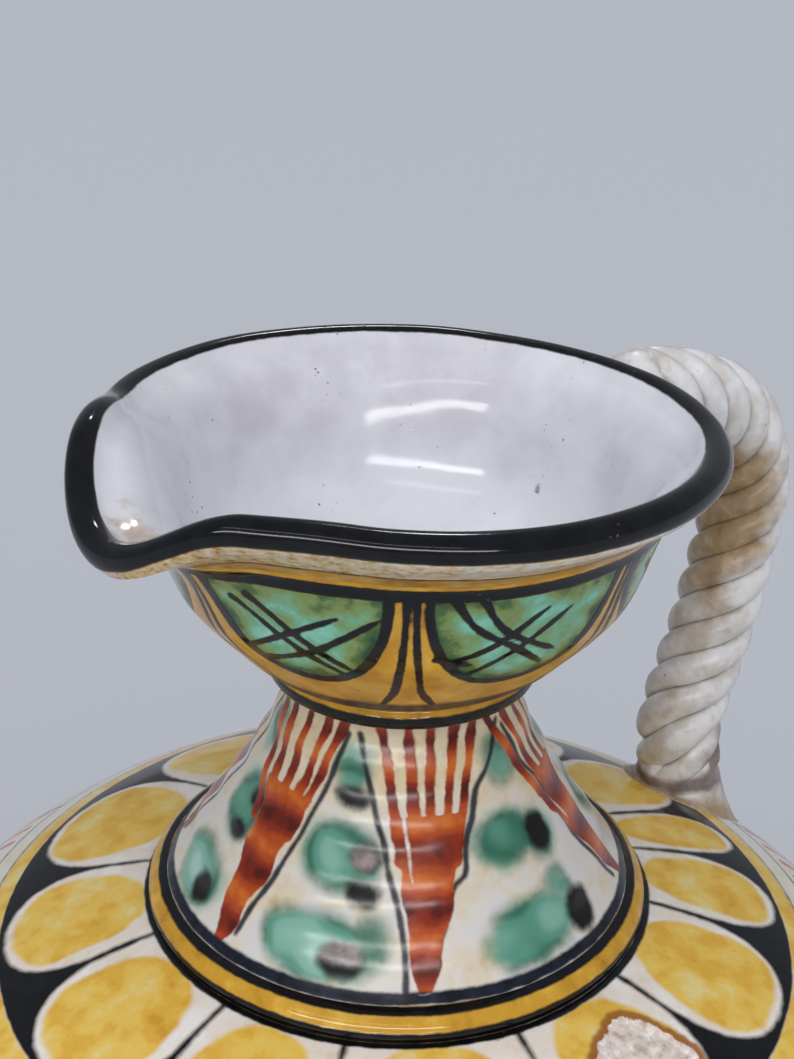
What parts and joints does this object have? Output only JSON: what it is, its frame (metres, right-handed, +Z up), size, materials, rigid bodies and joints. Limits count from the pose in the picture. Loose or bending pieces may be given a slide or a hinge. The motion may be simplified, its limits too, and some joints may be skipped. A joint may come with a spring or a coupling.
{
  "type": "pouring jug",
  "caption": "Wheel-thrown painted ceramic pouring jug with a round body on a foot ring, a flaring ridged neck, a bowl-shaped mouth with a pinched spout, and a twisted rope handle",
  "frame": {"origin": "on the table, at the middle of the foot ring, where the jug's turning axis meets the surface it stands on", "axes": "+Z up the turning axis, +X towards the handle, -X towards the spout, millimetres in the STEP files"},
  "size_m": [0.2, 0.2, 0.2633],
  "materials": {
    "foot_glaze": "gloss",
    "body_glaze": "gloss",
    "collar_glaze": "gloss",
    "neck_glaze": "gloss",
    "ring_glaze": "gloss",
    "bowl_glaze": "gloss",
    "handle_glaze": "gloss"
  },
  "bodies": {
    "root": {"foot_ring": "foot_glaze", "lower_body": "body_glaze", "upper_body": "body_glaze", "collar_ring": "collar_glaze", "neck": "neck_glaze", "neck_ring": "ring_glaze", "mouth_bowl": "bowl_glaze", "handle_top_pad": "handle_glaze", "handle_strand_1": "handle_glaze", "handle_strand_2": "handle_glaze", "handle_strand_3": "handle_glaze", "handle_strand_4": "handle_glaze", "handle_foot_pad": "handle_glaze"}
  },
  "joints": []
}
